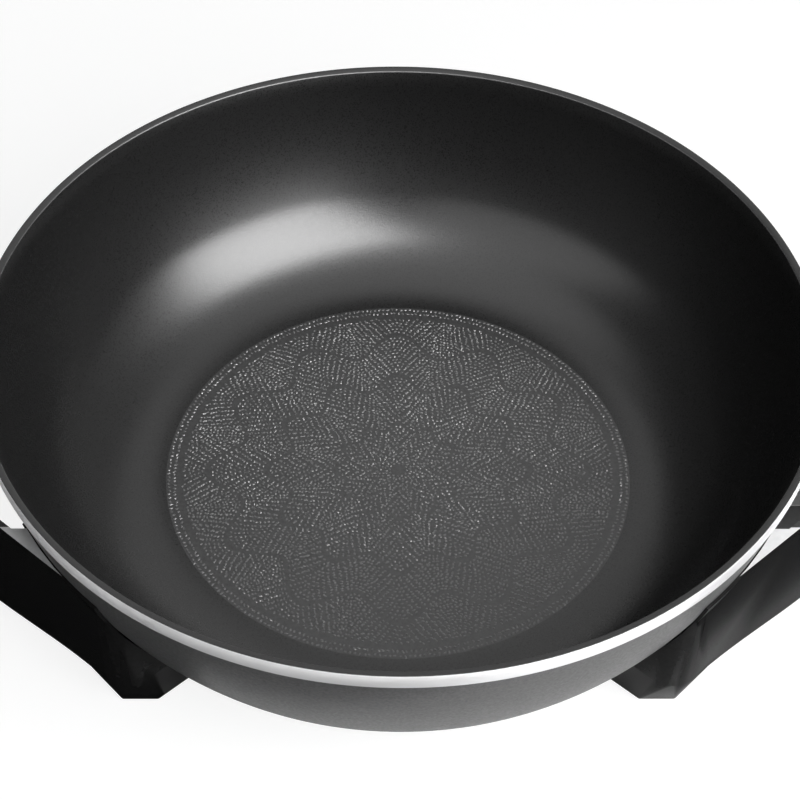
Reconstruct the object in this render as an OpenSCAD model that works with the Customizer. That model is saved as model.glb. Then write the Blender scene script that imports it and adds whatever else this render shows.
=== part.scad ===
// Electric wok: a cast pan with a sealed heater under its floor, two moulded handles that carry
// the legs, and a plug-in temperature control under the right-hand handle.
// The origin is the pan's centre on the table, +Z is up and +X points to the right-hand handle.

/* [Pan] */
// Diameter across the outside of the rim
rim_d = 340; // [320:1:360]
// Height of the rim above the table
rim_h = 119; // [112:1:135]
// Depth of the bowl below the rim
bowl_depth = 86.5; // [75:0.5:92]
// Thickness of the floor
floor_t = 7; // [5:0.5:9]
// Thickness of the wall
wall_t = 3.2; // [2.4:0.1:4.5]
// Diameter of the flat underside
base_d = 213; // [195:1:225]
// How far inside the flat underside the bowl's flat floor ends
floor_inset = 5; // [3:0.5:8]
// Outside radius where the floor turns up into the wall
corner_r = 44; // [36:1:50]
// Radius of the wall's outward bulge, seen from the side
bulge_r = 170; // [150:1:240]
// Height of the bright turned band under the rim
band_h = 7; // [4:0.5:10]
// How far the band stands out from the wall below it
band_proud = 1.2; // [0.4:0.1:2]
// Width of the flat on top of the rim
rim_w = 2.9; // [2:0.1:4]
// How much lower the rim's inner edge lies
lip_drop = 0.9; // [0.3:0.1:1.5]

/* [Heater] */
// Radius of the heater loop
loop_r = 70; // [55:1:80]
// Diameter of the heater tube
tube_d = 8; // [6:0.1:9]
// Height of the cast ridge that holds the tube
ridge_h = 12; // [10:0.5:13]
// Width of the ridge where it meets the pan
ridge_w = 18; // [14:1:24]
// Distance between the two terminal pins
pin_pitch = 24; // [20:1:28]
// Diameter of a terminal pin
pin_d = 4.8; // [3.5:0.1:5.4]
// Length of a pin past the terminal boss
pin_l = 26; // [20:1:28]
// Diameter of the temperature probe
probe_d = 6; // [4:0.1:7]
// Depth of the well that takes the probe
well_l = 48; // [35:1:50]
// How far the terminal boss reaches past the flat underside
boss_reach = 7.5; // [5:0.5:9]
// Width of the terminal boss
boss_w = 62; // [58:1:70]

/* [Inlet guard] */
// Width of the guard over its sides
guard_w = 58; // [56:1:60]
// Height of the guard
guard_h = 25; // [24:0.5:26]
// Length of the guard
guard_l = 34; // [30:1:36]
// Thickness of the guard's sheet
guard_t = 1.2; // [0.8:0.1:1.5]
// Distance between the guard's two screws
guard_screw_pitch = 45; // [42:1:46]
// Diameter of a guard screw
guard_screw_d = 4; // [3:0.1:4.5]
// How deep a guard screw goes into the boss
guard_screw_l = 8; // [6:0.5:9]

/* [Handles] */
// Drop from the rim to the flat top of the handles
handle_drop = 27.6; // [22:0.1:34]
// Reach of each handle from the pan's centre
handle_reach = 222; // [216:1:230]
// Width of the grip bar
grip_w = 22; // [18:1:26]
// Height of the grip bar
grip_h = 25.4; // [20:0.1:30]
// Wall left round the hollow under the grip
grip_wall = 4.5; // [3.5:0.1:5.5]
// Height of the skirt beside the legs
skirt_h = 57.4; // [52:0.1:62]
// How far the skirt's lower edge dips before it rises to the grip
skirt_dip = 8; // [4:0.5:10]
// Thickness of the skirt
skirt_t = 2.6; // [2:0.1:4]
// Angle between the skirt and the line through both handles
skirt_angle = 42; // [38:0.1:45]
// How far the skirt's lower edge leans in
skirt_draft = 3.4; // [1:0.1:5]
// How far the skirt's line cuts inside the pan's wall
skirt_inset = 1.2; // [0.4:0.1:2]
// Length of the finger opening along the pan
finger_l = 162.8; // [150:0.2:175]
// Thickness of the flat top web
web_t = 3; // [2:0.1:5]
// Length of the curve by which the skirt's foot rises to the grip
sweep_l = 26; // [22:1:32]
// Outer corner radius of the grip
grip_corner_r = 26; // [18:1:30]
// Corner radius of the finger opening
finger_corner_r = 8; // [4:1:14]
// Air gap between the hot pan and the handles
pan_gap = 0.7; // [0.6:0.1:2]
// Depth of the lip that follows the pan under the web
lip_h = 15; // [10:1:20]

/* [Legs] */
// Distance of the toe from the pan's centre, along the line of the handles
toe_x = 106; // [103:0.5:109]
// Distance of the toe from that line
toe_y = 97.4; // [95:0.1:100]
// Width of the toe
toe_w = 14.6; // [12:0.1:18]
// Length of the toe's slanted flank
toe_flank = 20; // [17:0.5:23]
// Width of the leg's front where it meets the skirt
shin_w = 9; // [7:0.5:12]
// Softness of the two corners beside that front
shin_soft = 4.2; // [2:0.1:4.4]
// Where that front meets the skirt
shin_x = 112; // [110:0.5:114]
// Length of the leg's slanted flank at the top
shin_flank = 25; // [22:0.5:27]
// Where the skirt's lower edge meets the leg
leg_end_x = 122; // [119:0.5:126]
// Distance of the leg's back face from the line of the handles
heel_y = 73; // [71:0.5:74.5]
// Wall of the hollow leg
leg_wall = 3; // [2.4:0.1:3.6]
// Height of the leg's lower edge above the table
leg_gap = 1; // [0.5:0.1:1.5]

/* [Feet and screws] */
// Distance of each foot from the pan's centre, along the line of the handles
foot_x = 101; // [99.5:0.5:103]
// Distance of each foot from that line
foot_y = 84.5; // [83.5:0.5:85.5]
// Diameter of the rubber foot
foot_d = 17; // [14:0.5:18]
// Thickness of the foot's head
foot_h = 3; // [2:0.1:4]
// Gap between the foot's plug and the screw head above it
plug_gap = 4.4; // [2:0.1:6]
// Diameter of the screw tower in a leg
tower_d = 18; // [17:0.5:19]
// Diameter of a cast lug under the pan
lug_d = 16; // [13:0.5:18]
// Height of a lug below the pan, on its axis
lug_h = 7.4; // [6:0.1:9]
// Depth of a lug's screw hole
lug_hole_l = 9; // [7:0.5:9.5]
// Thickness of the leg under the lug
seat_t = 6; // [4:0.5:7]
// Diameter of a handle screw
screw_d = 5; // [4:0.1:5.6]
// Diameter of its head
screw_head_d = 9; // [8:0.1:9.6]
// Height of its head
screw_head_h = 3.6; // [2.5:0.1:4]
// Diameter of its washer
washer_d = 10.4; // [10:0.1:11]
// Thickness of its washer
washer_t = 1; // [0.6:0.1:1.4]

/* [Temperature control] */
// Length of the control's body
body_l = 64; // [62:1:70]
// Width of the body
body_w = 58; // [56:1:62]
// Height of the body above the probe
body_up = 23.5; // [22:0.5:26]
// Depth of the body below the probe
body_down = 12.5; // [12:0.5:13.5]
// Wall of its two shells
shell_t = 2.2; // [1.8:0.1:2.6]
// Corner radius at the back of the body
body_r = 14; // [10:1:18]
// Width of the nose that goes into the guard
nose_w = 49; // [46:1:51]
// Height of the nose above the probe
nose_up = 6; // [5:0.5:6.5]
// Depth of the nose below the probe
nose_down = 9.5; // [9:0.5:10]
// Gap between the terminal boss and the nose
nose_gap = 7; // [6:0.5:9]
// Outside diameter of a contact sleeve
sleeve_d = 7; // [6.6:0.1:7.6]
// Length of a contact sleeve
sleeve_l = 36; // [34:1:40]
// Distance from the body's front to the dial's axis
dial_x = 28; // [26:1:30]
// Diameter of the dial
dial_d = 40; // [34:1:44]
// Height of the dial
dial_h = 11; // [9:0.5:13]
// Diameter of the dial's spindle
spindle_d = 7; // [5:0.1:8]
// Diameter of the indicator's window
lens_d = 9; // [7:0.5:10]
// Bore of the cord gland
gland_bore_d = 6.8; // [5:0.1:8]
// Diameter of the screws that close the shells
shell_screw_d = 3; // [2.5:0.1:3.2]
// How far these screws reach into the upper shell
shell_screw_l = 10; // [8:0.5:12]
// Distance of the front pair of screws from the body's front
post_x = 7.5; // [6.5:0.5:9]
// Distance from the front pair to the back pair
post_pitch = 31.5; // [30:0.5:33]
// Distance between the two screws of a pair
post_span = 44; // [42:0.5:46]

/* [Hidden] */
$fn = 96;
hull_fn = 32;
fit = 0.05;
loose = 0.3;
skin = 0.2;
far = 400;
over = 1;

rim_r = rim_d / 2;
floor_z = rim_h - bowl_depth;
base_z = floor_z - floor_t;
axis_z = base_z - ridge_h / 2;

// The corner arc and the bulging wall arc are tangent to each other, outside and inside.
corner_c = [base_d / 2, base_z + corner_r];
wall_top = [rim_r - band_proud, rim_h - band_h];
bulge_c = circles_meet(corner_c, bulge_r - corner_r, wall_top, bulge_r);
inner_bulge_r = bulge_r - wall_t;
floor_r = base_d / 2 - floor_inset;
floor_down = bulge_c.y - floor_z;
inner_r = (pow(inner_bulge_r, 2) - pow(floor_r - bulge_c.x, 2) - pow(floor_down, 2))
    / (2 * (inner_bulge_r - floor_down));
inner_c = [floor_r, floor_z + inner_r];
join_a = direction(corner_c - bulge_c);
inner_join_a = direction(inner_c - bulge_c);
inner_top_a = asin((wall_top.y - bulge_c.y) / inner_bulge_r);
arc_steps = 14;

// The heater's loop is open towards +X, where each end meets the side of a terminal pin.
lead_y = pin_pitch / 2;
loop_a = asin((lead_y + pin_d / 2 + fit) / (loop_r - tube_d / 2));
channel_a = asin((lead_y - pin_d / 2 - over) / (loop_r + tube_d / 2));
pin_start = loop_r - pin_d / 2;
bush_start = loop_r + tube_d / 2 + over;
boss_end = base_d / 2 + boss_reach;
boss_start = boss_end - well_l - 2 * over;

// The skirt's outer face lies on a line at this distance from the pan's axis.
handle_z = rim_h - handle_drop;
skirt_z = handle_z - skirt_h;
dip_z = skirt_z - skirt_dip;
grip_z = handle_z - grip_h;
skirt_dist = wall_radius(handle_z) - skirt_inset;
sweep_end = handle_reach - grip_w;
sweep_start = sweep_end - sweep_l;

foot_seat_z = foot_h;
lug_z = pan_under(norm([foot_x, foot_y])) - lug_h;
seat_z = lug_z - seat_t;
tower_bore_d = washer_d + 2 * loose;
screw_head_z = seat_z - washer_t - screw_head_h;
plug_end = screw_head_z - plug_gap;
guard_head_d = 1.75 * guard_screw_d;
guard_head_h = 0.6 * guard_screw_d;

nose_x = boss_end + nose_gap;
body_x = boss_end + guard_l + 2 * over;
body_end = body_x + body_l;
body_top = axis_z + body_up;
body_bottom = axis_z - body_down;
inside_top = body_top - shell_t;
inside_bottom = body_bottom + shell_t;
dial_axis = [body_x + dial_x, 0];
dial_z = body_top + 2 * loose;
spindle_z = axis_z + 8.9;
hub_d = spindle_d + 6;
collar_d = spindle_d + 5;
lens_xy = [body_end - body_r - 1, -(body_w / 2 - body_r + 4)];
shell_posts = [for (x = [post_x, post_x + post_pitch], side = [-1, 1]) [body_x + x, side * post_span / 2]];
post_d = shell_screw_d + 4;
shell_head_d = 2 * shell_screw_d;
shell_head_h = 0.8 * shell_screw_d;
head_seat_z = body_bottom + 4;
gland_d = gland_bore_d + 4.2;
gland_flange_d = gland_bore_d + 7.2;
gland_end = body_end + 2;
block_x = body_x + 6;
block_w = 16;
steps_x = [block_x, block_x + 5, block_x + 10, block_x + 16];
steps_z = [axis_z + 8, axis_z + 5.5, axis_z + 3];
blade_w = 7;
blade_tip = dial_axis.x + 12;

function direction(v) = atan2(v.y, v.x);
function arc(c, r, a0, a1) =
    [for (i = [0:arc_steps]) let (a = a0 + (a1 - a0) * i / arc_steps) c + r * [cos(a), sin(a)]];
// The crossing of two circles that lies to the left on the way from a to b
function circles_meet(a, ra, b, rb) =
    let (d = norm(b - a), u = (b - a) / d, x = (d * d + ra * ra - rb * rb) / (2 * d))
    a + x * u + sqrt(ra * ra - x * x) * [-u.y, u.x];
// Outside radius of the wall at height z
function wall_radius(z) = bulge_c.x + sqrt(pow(bulge_r, 2) - pow(z - bulge_c.y, 2));
// Height of the pan's underside at radius r
function pan_under(r) =
    r < corner_c.x ? base_z
    : r < corner_c.x + corner_r * cos(join_a) ? corner_c.y - sqrt(pow(corner_r, 2) - pow(r - corner_c.x, 2))
    : bulge_c.y - sqrt(pow(bulge_r, 2) - pow(r - bulge_c.x, 2));
// The pan's outside from its axis up to the rim, grown by g
function outside(g) = concat(
    [[0, base_z - g]],
    arc(corner_c, corner_r + g, -90, join_a),
    arc(bulge_c, bulge_r + g, join_a, direction(wall_top - bulge_c)),
    [[rim_r + g, wall_top.y - g], [rim_r + g, rim_h]]);
// The bowl's inside from the rim's inner edge down to the axis
function inside() = concat(
    [[rim_r - rim_w, rim_h - lip_drop]],
    arc(bulge_c, inner_bulge_r, inner_top_a, inner_join_a),
    arc(inner_c, inner_r, inner_join_a, -90),
    [[0, floor_z]]);
// Where the skirt's line at distance d crosses x
function skirt_y(x, d) = (d - x * sin(skirt_angle)) / cos(skirt_angle);
function between(a, b, t) = [for (i = [0:len(a) - 1]) a[i] + (b[i] - a[i]) * t];

function unit(v) = v / norm(v);
// A soft corner at b, cut back by r along the ways to a and to c
function soft(a, b, c, r) =
    let (s = b + r * unit(a - b), e = b + r * unit(c - b))
    [for (t = [0:0.25:1]) (1 - t) * (1 - t) * s + 2 * t * (1 - t) * b + t * t * e];
// The leg's outline: skirt end a, front from b to c, flank to d, and the straight heel behind them
function leg_outline(a, b, c, d, r) =
    concat([a], soft(a, b, c, r), soft(b, c, d, r), [d, [d.x, heel_y], [a.x, heel_y]]);

shin_front = skirt_y(shin_x, skirt_dist - skirt_draft);
skirt_way = [cos(skirt_angle), -sin(skirt_angle)];
flank_way = [-cos(skirt_angle), -sin(skirt_angle)];
toe = let (bevel = 1.2, b = [toe_x + toe_w / 2, toe_y], c = [toe_x - toe_w / 2, toe_y])
    leg_outline(b + bevel * skirt_way, b, c, c + toe_flank * flank_way, bevel / 2);
// The leg's outline where the skirt's face is at distance d
function leg_top(d) = let (b = [shin_x, skirt_y(shin_x, d)], c = b - [shin_w, 0])
    leg_outline([leg_end_x, skirt_y(leg_end_x, d)], b, c, c + shin_flank * flank_way, shin_soft);
shin = leg_top(skirt_dist - skirt_draft);
shoulder = leg_top(skirt_dist - skirt_draft * web_t / skirt_h - 2 * fit);

// A round bar along +X from x0 to x1, on the probe's height
module bar_x(x0, x1, d, y = 0) {
    translate([x0, y, axis_z]) rotate([0, 90, 0]) cylinder(d = d, h = x1 - x0);
}

// A block from corner a to corner b
module block(a, b) {
    translate(a) cube(b - a);
}

// Puts its children at all four feet
module at_feet() {
    for (x = [-1, 1], y = [-1, 1]) translate([x * foot_x, y * foot_y, 0]) children();
}

// The space that the hot pan and its air gap g take up
module pan_space(g) {
    rotate_extrude() polygon(concat(outside(g), [[0, rim_h]]));
}

// A round tube on the heater's loop, open between the angles a and -a
module heater_loop(d, a) {
    translate([0, 0, axis_z]) rotate([0, 0, a]) rotate_extrude(angle = 360 - 2 * a)
        translate([loop_r, 0]) circle(d = d);
}

module heater_ridge() {
    foot_w = ridge_w - 4;
    rotate_extrude() translate([loop_r, 0]) polygon([
        [-foot_w / 2, base_z - ridge_h], [foot_w / 2, base_z - ridge_h],
        [ridge_w / 2, base_z + over], [-ridge_w / 2, base_z + over]]);
}

module terminal_boss() {
    block([boss_start, -boss_w / 2, base_z - ridge_h], [boss_end, boss_w / 2, floor_z + over]);
}

module pan() {
    color("#262626") difference() {
        union() {
            rotate_extrude() polygon(concat(outside(0), inside()));
            difference() {
                union() {
                    heater_ridge();
                    terminal_boss();
                    at_feet() translate([0, 0, lug_z]) cylinder(d = lug_d, h = corner_r);
                }
                rotate_extrude() polygon(concat(inside(), [[0, rim_h], [rim_r - rim_w, rim_h]]));
            }
        }
        heater_loop(tube_d + 2 * fit, channel_a);
        for (side = [-1, 1]) {
            bar_x(loop_r, boss_end + over, pin_d + 2 * fit, side * lead_y);
            bar_x(bush_start - fit, boss_end + over, tube_d + 2 * fit, side * lead_y);
            bar_x(boss_end - guard_screw_l - over, boss_end + over, guard_screw_d + 2 * fit,
                  side * guard_screw_pitch / 2);
        }
        bar_x(boss_end - well_l, boss_end + over, probe_d + loose);
        at_feet() translate([0, 0, lug_z - over]) cylinder(d = screw_d + 2 * fit, h = lug_hole_l + over);
    }
}

module heating_element() {
    color("#8f8a84") heater_loop(tube_d, loop_a);
}

module terminal_pin(side) {
    color("#c9b27a") union() {
        bar_x(pin_start, boss_end + pin_l - 2, pin_d, side * lead_y);
        translate([boss_end + pin_l - 2, side * lead_y, axis_z]) rotate([0, 90, 0])
            cylinder(d1 = pin_d, d2 = pin_d / 2, h = 2);
    }
}

module pin_insulator(side) {
    color("#e6e0d2") difference() {
        bar_x(bush_start, boss_end + 3, tube_d, side * lead_y);
        bar_x(bush_start - over, boss_end + 3 + over, pin_d + 2 * fit, side * lead_y);
    }
}

// A folded sheet sleeve on a flange, trimmed to follow the underside of the pan
module inlet_guard() {
    low = axis_z - guard_h / 2;
    high = axis_z + guard_h / 2;
    half = guard_w / 2;
    color("#b4b6b8") difference() {
        block([boss_end, -half, low], [boss_end + guard_l, half, high]);
        block([boss_end + guard_t, -half + guard_t, low + guard_t],
              [boss_end + guard_l + over, half - guard_t, high - guard_t]);
        pan_space(skin);
        for (side = [-1, 1]) {
            bar_x(boss_end - over, boss_end + 2 * over + guard_t, tube_d + loose, side * lead_y);
            bar_x(boss_end - over, boss_end + 2 * over + guard_t, guard_screw_d + loose,
                  side * guard_screw_pitch / 2);
        }
        bar_x(boss_end - over, boss_end + 2 * over + guard_t, probe_d + 4 * loose);
    }
}

module inlet_guard_screws() {
    face = boss_end + guard_t;
    color("#c8c8c8") for (side = [-1, 1]) {
        y = side * guard_screw_pitch / 2;
        bar_x(boss_end - guard_screw_l, face, guard_screw_d, y);
        bar_x(face, face + guard_head_h, guard_head_d, y);
    }
}

// The handle's outline seen from above: two slanted sides and a round-cornered end
module handle_plan(start, d, reach, r) {
    cx = reach - r;
    cy = skirt_y(cx, d - r);
    tx = cx + r * sin(skirt_angle);
    ty = cy + r * cos(skirt_angle);
    polygon([[start, -skirt_y(start, d)], [tx, -ty], [reach, -cy], [reach, cy], [tx, ty],
             [start, skirt_y(start, d)]]);
    for (side = [-1, 1]) translate([cx, side * cy]) circle(r = r, $fn = hull_fn);
}

// A prism whose sides lean in by the skirt's draft from the handle's top to the skirt's foot
module drafted(start, inset, reach, r, over_top, over_foot) {
    hull() {
        translate([0, 0, handle_z + over_top - skin]) linear_extrude(skin)
            handle_plan(start, skirt_dist - inset, reach, r);
        translate([0, 0, dip_z - over_foot]) linear_extrude(skin)
            handle_plan(start, skirt_dist - inset - skirt_draft * (1 + skirt_dip / skirt_h), reach, r);
    }
}

// A smooth step from point a to point b, without a itself
function wave(a, b) = [for (i = [1:16])
    [a.x + (b.x - a.x) * i / 16, a.y + (b.y - a.y) * (1 - cos(180 * i / 16)) / 2]];

// Cuts the skirt's lower edge, which dips from the leg and then sweeps up to the grip's underside
module grip_sweep() {
    leg_end = [leg_end_x, skirt_z];
    low = [sweep_start, dip_z];
    translate([0, far / 2, 0]) rotate([90, 0, 0]) linear_extrude(far)
        polygon(concat([[shin_x - over, dip_z - over], [shin_x - over, skirt_z], leg_end],
                       wave(leg_end, low), wave(low, [sweep_end, grip_z]),
                       [[handle_reach + over, grip_z], [handle_reach + over, dip_z - over]]));
}

// Hollow under the grip, crossed by stiffening ribs
module grip_hollow() {
    rib_t = 2.4;
    rib_pitch = 16;
    x0 = handle_reach - grip_w + grip_wall;
    x1 = handle_reach - grip_wall;
    for (i = [-2:1]) {
        y0 = i * rib_pitch + rib_t / 2;
        y1 = (i + 1) * rib_pitch - rib_t / 2;
        intersection() {
            block([x0, y0, grip_z - over], [x1, y1, handle_z - grip_wall]);
            linear_extrude(handle_z) handle_plan(x0 - over, skirt_dist - grip_wall - skirt_draft / 2,
                                                 x1, grip_corner_r - grip_wall);
        }
    }
}

module handle_skirt() {
    difference() {
        drafted(shin_x + shin_soft * cos(skirt_angle), 0, handle_reach, grip_corner_r, 0, 0);
        drafted(shin_x - far / 8, skirt_t, handle_reach - grip_w, finger_corner_r, over, over);
        grip_sweep();
        grip_hollow();
    }
}

// The flat triangular webs that close the corners beside the finger opening
module handle_webs() {
    intersection() {
        union() {
            translate([0, 0, handle_z - web_t]) cylinder(r = far, h = web_t);
            // The lip hides the gap beside the pan and stiffens the web's edge.
            translate([0, 0, handle_z - lip_h]) intersection() {
                cylinder(r = far, h = lip_h);
                translate([0, 0, lip_h - handle_z]) pan_space(pan_gap + skirt_t);
            }
        }
        linear_extrude(handle_z) intersection() {
            handle_plan(shin_x, skirt_dist - skin - skirt_draft * lip_h / skirt_h, handle_reach,
                        grip_corner_r);
            for (side = [0, 1]) mirror([0, side]) translate([0, finger_l / 2]) square(far);
        }
    }
}

// A hollow, tapering leg with a screw tower, a rib inside and a collar that rises to the pan
module leg() {
    top_z = seat_z;
    share = (top_z - leg_gap) / (skirt_z - leg_gap);
    slice = between(toe, shin, share);
    difference() {
        hull() {
            translate([0, 0, leg_gap]) linear_extrude(skin) polygon(toe);
            translate([0, 0, skirt_z - skin]) linear_extrude(skin) polygon(shin);
        }
        hull() {
            translate([0, 0, leg_gap - skin]) linear_extrude(skin) offset(delta = -leg_wall) polygon(toe);
            translate([0, 0, top_z - skin]) linear_extrude(skin) offset(delta = -leg_wall) polygon(slice);
        }
    }
    collar_top = handle_z - web_t;
    difference() {
        hull() {
            translate([0, 0, skirt_z - skin]) linear_extrude(skin) polygon(shin);
            translate([0, 0, collar_top]) linear_extrude(skin) polygon(shoulder);
        }
        hull() {
            translate([0, 0, skirt_z]) linear_extrude(skin) offset(delta = -leg_wall) polygon(shin);
            translate([0, 0, collar_top + over]) linear_extrude(skin)
                offset(delta = -leg_wall) polygon(shoulder);
        }
    }
    translate([foot_x, foot_y, foot_seat_z]) cylinder(d = tower_d, h = top_z - foot_seat_z + over);
    // The rib runs from the tower to the sloping front wall.
    front = between([toe_y], [shin_front], share)[0] - leg_wall / 2;
    translate([foot_x + leg_wall / 2, 0, 0]) rotate([0, -90, 0]) linear_extrude(leg_wall)
        polygon([[foot_seat_z, foot_y], [foot_seat_z, toe_y - leg_wall / 2], [top_z + over, front],
                 [top_z + over, foot_y]]);
}

module handle() {
    color("#161616") difference() {
        union() {
            handle_skirt();
            handle_webs();
            for (side = [0, 1]) mirror([0, side, 0]) leg();
        }
        pan_space(pan_gap);
        for (side = [-1, 1]) translate([foot_x, side * foot_y, 0]) {
            translate([0, 0, -over]) cylinder(d = tower_bore_d, h = seat_z + over);
            cylinder(d = screw_d + 2 * loose, h = lug_z + over);
            translate([0, 0, lug_z]) cylinder(d = lug_d + 2 * pan_gap, h = corner_r);
        }
    }
}

module left_handle() {
    mirror([1, 0, 0]) handle();
}

module right_handle() {
    handle();
}

module handle_screws() {
    shank_l = washer_t + seat_t + lug_hole_l - over;
    color("#c8c8c8") at_feet() translate([0, 0, screw_head_z]) {
        rotate_extrude() polygon([
            [0, 0], [screw_head_d / 2 - 1, 0], [screw_head_d / 2, 1], [screw_head_d / 2, screw_head_h],
            [0, screw_head_h]]);
        translate([0, 0, screw_head_h]) cylinder(d = screw_d, h = shank_l);
    }
}

module handle_washers() {
    color("#c8c8c8") at_feet() translate([0, 0, seat_z - washer_t]) difference() {
        cylinder(d = washer_d, h = washer_t);
        translate([0, 0, -over]) cylinder(d = screw_d + loose, h = washer_t + 2 * over);
    }
}

// A rubber foot: a chamfered head with a plug that closes the screw tower
module foot(x, y) {
    plug_d = tower_bore_d - 2 * fit;
    color("#202020") translate([x * foot_x, y * foot_y, 0]) rotate_extrude() polygon([
        [0, 0], [foot_d / 2 - 1, 0], [foot_d / 2, 1], [foot_d / 2, foot_h], [plug_d / 2, foot_h],
        [plug_d / 2, plug_end - 0.5], [plug_d / 2 - 1, plug_end], [0, plug_end]]);
}

// The control's body seen from above, with large corners at the back
module body_plan(inset) {
    r = body_r - inset;
    half = body_w / 2 - inset;
    x1 = body_end - inset - r;
    translate([body_x + inset, -half]) square([x1 - body_x - inset, 2 * half]);
    translate([x1, -half + r]) square([r, 2 * (half - r)]);
    for (side = [-1, 1]) translate([x1, side * (half - r)]) circle(r = r);
}

// Channels through the nose and the walls for sleeves, probe and gland
module control_channels() {
    for (side = [-1, 1]) bar_x(nose_x - over, body_x + shell_t + over, sleeve_d + 2 * fit, side * lead_y);
    bar_x(nose_x - over, body_x + shell_t + over, probe_d + 2 * fit);
    bar_x(body_end - shell_t - over, body_end + over, gland_d + 2 * fit);
}

// The lower shell: a tray with the lower half of the nose
module control_base() {
    color("#1c1c1c") difference() {
        union() {
            difference() {
                translate([0, 0, body_bottom]) linear_extrude(body_down) body_plan(0);
                translate([0, 0, inside_bottom]) linear_extrude(body_down) body_plan(shell_t);
            }
            block([nose_x, -nose_w / 2, axis_z - nose_down], [body_x + shell_t, nose_w / 2, axis_z]);
            for (p = shell_posts) translate([p.x, p.y, body_bottom]) cylinder(d = post_d, h = body_down);
        }
        control_channels();
        for (p = shell_posts) translate([p.x, p.y, body_bottom - over]) {
            cylinder(d = shell_head_d + loose, h = head_seat_z - body_bottom + over);
            cylinder(d = shell_screw_d + loose, h = body_down + 2 * over);
        }
    }
}

// The upper shell: an upturned tray with the upper half of the nose and the dial's bearing
module control_cover() {
    color("#1c1c1c") difference() {
        union() {
            difference() {
                translate([0, 0, axis_z]) linear_extrude(body_up) body_plan(0);
                translate([0, 0, axis_z - over]) linear_extrude(body_up - shell_t + over) body_plan(shell_t);
            }
            block([nose_x, -nose_w / 2, axis_z], [body_x + shell_t, nose_w / 2, axis_z + nose_up]);
            for (p = shell_posts) translate([p.x, p.y, axis_z]) cylinder(d = post_d, h = body_up - over);
        }
        control_channels();
        for (p = shell_posts) translate([p.x, p.y, axis_z - over])
            cylinder(d = shell_screw_d + 2 * fit, h = shell_screw_l + 2 * over);
        translate([dial_axis.x, dial_axis.y, axis_z]) cylinder(d = spindle_d + 2 * fit, h = body_up + over);
        translate([lens_xy.x, lens_xy.y, axis_z + over]) cylinder(d = lens_d - 2 + 2 * fit, h = body_up);
    }
}

module control_screws() {
    color("#c8c8c8") for (p = shell_posts) translate([p.x, p.y, head_seat_z]) {
        translate([0, 0, -shell_head_h]) cylinder(d = shell_head_d, h = shell_head_h);
        cylinder(d = shell_screw_d, h = axis_z - head_seat_z + shell_screw_l);
    }
}

// A closed metal tube with a domed tip, held by a collar behind the control's front wall
module sensor_probe() {
    tip = boss_end - well_l + 2 + probe_d / 2;
    collar = body_x + shell_t + fit;
    color("#c4c6c8") union() {
        bar_x(tip, block_x + 4, probe_d);
        translate([tip, 0, axis_z]) sphere(d = probe_d);
        bar_x(collar, collar + 2, probe_d + 4);
    }
}

// A brass sleeve with a blind bore for the pin and a solder tag at its back
module contact_sleeve(side) {
    x0 = nose_x + over;
    color("#c9a24a") difference() {
        union() {
            bar_x(x0, x0 + sleeve_l, sleeve_d, side * lead_y);
            block([x0 + sleeve_l - over, side * lead_y - 2, axis_z - 0.5],
                  [x0 + sleeve_l + 6, side * lead_y + 2, axis_z + 0.5]);
        }
        bar_x(x0 - over, boss_end + pin_l + 2, pin_d + skin, side * lead_y);
    }
}

// A springy strip under the nose that meets the guard's floor
module earth_contact() {
    top = axis_z - nose_down;
    bow = guard_h / 2 - guard_t - nose_down - loose;
    thin = bow / 3;
    x0 = nose_x + 2 * over;
    x1 = body_x - 2 * over;
    step = (x1 - x0) / 4;
    color("#c9a24a") translate([0, probe_d, 0]) rotate([90, 0, 0]) linear_extrude(2 * probe_d) polygon([
        [x0, top], [x0, top - thin], [x0 + step, top - bow], [x0 + 2 * step, top - bow],
        [x0 + 3 * step, top - thin], [x1, top - thin], [x1, top]]);
}

// A ceramic block on the floor of the control, with a step for each of the three blades
module thermostat_block() {
    color("#e6e0d2") difference() {
        for (i = [0:2])
            block([steps_x[i], -block_w / 2, inside_bottom], [steps_x[i + 1], block_w / 2, steps_z[i]]);
        bar_x(block_x - over, block_x + 5, probe_d + 2 * fit);
    }
}

// A flat blade that lies on one step of the block and reaches past the spindle
module blade(step, thickness) {
    z = steps_z[step];
    block([steps_x[step] + 0.5, -blade_w / 2, z], [blade_tip, blade_w / 2, z + thickness]);
}

// Contact buttons face each other at the blades' tips
module button(z, h) {
    translate([blade_tip - 3, 0, z]) cylinder(d = 4, h = h);
}

module bimetal_blade() {
    color("#9a8f86") union() {
        blade(2, 0.8);
        button(steps_z[2] + 0.8, steps_z[1] - steps_z[2] - 0.8 - loose);
    }
}

module moving_contact() {
    color("#c9a24a") union() {
        blade(1, 0.5);
        button(steps_z[1] + 0.5, 0.8);
    }
}

module fixed_contact() {
    color("#c9a24a") union() {
        blade(0, 0.6);
        button(steps_z[0] - 0.8, 0.8);
    }
}

module indicator_lens() {
    stem_d = lens_d - 2;
    color("#a02818") translate([lens_xy.x, lens_xy.y, 0]) union() {
        translate([0, 0, body_top]) cylinder(d1 = lens_d, d2 = lens_d - 1, h = 1.2);
        translate([0, 0, inside_top - 3]) cylinder(d = stem_d, h = shell_t + 3);
    }
}

// A small glass lamp that hangs under the window
module indicator_lamp() {
    lamp_d = lens_d - 3.5;
    top = inside_top - 3 - loose;
    color("#e8b48c") translate([lens_xy.x, lens_xy.y, top - lamp_d / 2]) union() {
        sphere(d = lamp_d);
        translate([0, 0, -9]) cylinder(d = lamp_d, h = 9);
    }
}

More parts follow.
